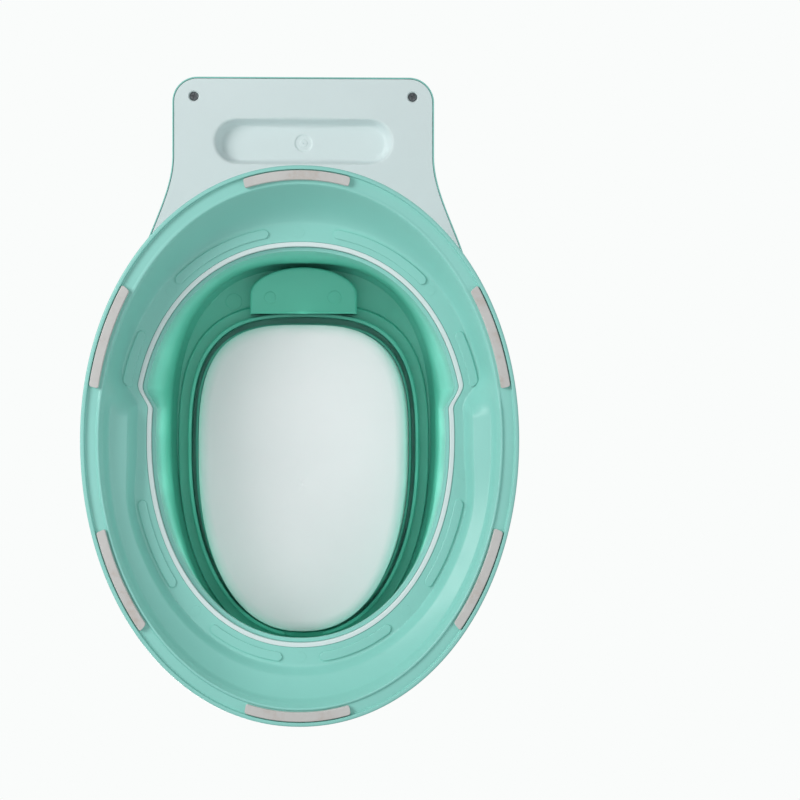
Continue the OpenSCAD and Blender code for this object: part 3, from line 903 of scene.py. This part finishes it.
def floor():
    """A pale floor that is seen only from above, a hair below the strips that stand on it."""
    mesh = bpy.data.meshes.new("floor")
    half, z = 6.0, -0.0002
    corners = [(-half, -half, z), (half, -half, z), (half, half, z), (-half, half, z)]
    mesh.from_pydata(corners, [], [(0, 1, 2, 3)])
    made = bpy.data.objects.new("floor", mesh)
    bpy.context.scene.collection.objects.link(made)
    n = Nodes("floor_paint", backdrop=True)
    n.link(n.ramp(n.noise(1.5, detail=2), [(0.3, (0.80, 0.82, 0.82)), (0.7, (0.84, 0.86, 0.86))]),
           n.shader.inputs["Base Color"])
    n.set(Roughness=0.7)
    clear = n.tree.nodes.new("ShaderNodeBsdfTransparent")
    mix = n.tree.nodes.new("ShaderNodeMixShader")
    side = n.tree.nodes.new("ShaderNodeNewGeometry")
    n.link(side.outputs["Backfacing"], mix.inputs[0])
    n.link(n.shader.outputs[0], mix.inputs[1])
    n.link(clear.outputs[0], mix.inputs[2])
    n.link(mix.outputs[0], n.out.inputs["Surface"])
    mesh.materials.append(n.material)
    for ray in ("visible_shadow", "visible_diffuse", "visible_glossy", "visible_transmission"):
        setattr(made, ray, False)


def area_light(name, place, aim, size, power, colour=(1, 1, 1)):
    data = bpy.data.lights.new(name, "AREA")
    data.shape = "DISK"
    data.size = size
    data.energy = power
    data.color = colour
    made = bpy.data.objects.new(name, data)
    made.location = place
    made.rotation_euler = (Vector(aim) - Vector(place)).to_track_quat("-Z", "Y").to_euler()
    made.visible_camera = False
    bpy.context.scene.collection.objects.link(made)
    return made


def glow():
    """Hidden soft panels for the light that comes in through the thin translucent shells:
    a ring of them just outside the bowl's wall, facing outward, and one inside the bowl, facing down."""
    count = 14
    height, middle = 0.112, 0.126
    turns = (np.arange(count) + 0.5) * 2 * math.pi / count
    ring = bowl_row(-3.5, 150, turns) * MM
    for k, spot in enumerate(ring):
        ahead, behind = ring[(k + 1) % count], ring[k - 1]
        out = Vector((behind[1] - ahead[1], ahead[0] - behind[0], 0)).normalized()
        spot = Vector((spot[0], spot[1], middle))
        panel = area_light("glow_%02d" % k, spot, spot + out, 0.05, 0.0065, (0.40, 1.0, 0.78))
        panel.data.shape = "RECTANGLE"
        panel.data.size_y = height
    place = Vector((0, (OPENING_Y - 18) * MM, 0.14))
    inside = area_light("glow_bowl", place, place - Vector((0, 0, 1)), 0.13, 0.065)
    inside.data.shape = "ELLIPSE"
    inside.data.size_y = 0.21


def world():
    """A near-white backdrop for the camera, and a dimmer even light for the object."""
    made = bpy.data.worlds.new("studio")
    bpy.context.scene.world = made
    made.use_nodes = True
    tree = made.node_tree
    tree.nodes.clear()
    out = tree.nodes.new("ShaderNodeOutputWorld")
    seen = tree.nodes.new("ShaderNodeBackground")
    seen.inputs["Color"].default_value = (0.956, 0.973, 0.965, 1)
    even = tree.nodes.new("ShaderNodeBackground")
    even.inputs["Color"].default_value = (0.93, 0.98, 1.0, 1)
    even.inputs["Strength"].default_value = 0.33
    path = tree.nodes.new("ShaderNodeLightPath")
    mix = tree.nodes.new("ShaderNodeMixShader")
    tree.links.new(path.outputs["Is Camera Ray"], mix.inputs[0])
    tree.links.new(even.outputs[0], mix.inputs[1])
    tree.links.new(seen.outputs[0], mix.inputs[2])
    tree.links.new(mix.outputs[0], out.inputs["Surface"])


def camera():
    """Looks straight up at the underside, with the rear of the chair at the top of the picture."""
    data = bpy.data.cameras.new("camera")
    data.lens = 97.8
    data.sensor_width = 36
    made = bpy.data.objects.new("camera", data)
    place = Vector((-0.0185, -0.01135, -1.4))
    aim = Vector((-0.0642, -0.01135, 0))
    forward = (aim - place).normalized()
    right = forward.cross(Vector((0, 1, 0))).normalized()
    up = right.cross(forward)
    made.matrix_world = Matrix.Translation(place) @ Matrix((right, up, -forward)).transposed().to_4x4()
    bpy.context.scene.collection.objects.link(made)
    bpy.context.scene.camera = made


floor()
world()
camera()
area_light("key", (1.5, 0.55, -1.25), (0, -0.03, 0.05), 1.1, 25, (1.0, 1.0, 1.0))
area_light("front", (0.03, -0.03, -0.42), (0.0, -0.03, 0.2), 0.34, 0.28, (1.0, 1.0, 1.0))
glow()
area_light("fill", (-1.6, -0.4, -1.4), (0, -0.03, 0.05), 1.4, 7, (0.95, 1.0, 1.0))
area_light("top", (0.9, -1.5, 2.0), (0, 0, 0.15), 1.4, 42)
area_light("rear", (-1.4, 1.5, 1.6), (0, 0, 0.15), 1.4, 22)
bpy.context.scene.view_settings.view_transform = "Standard"
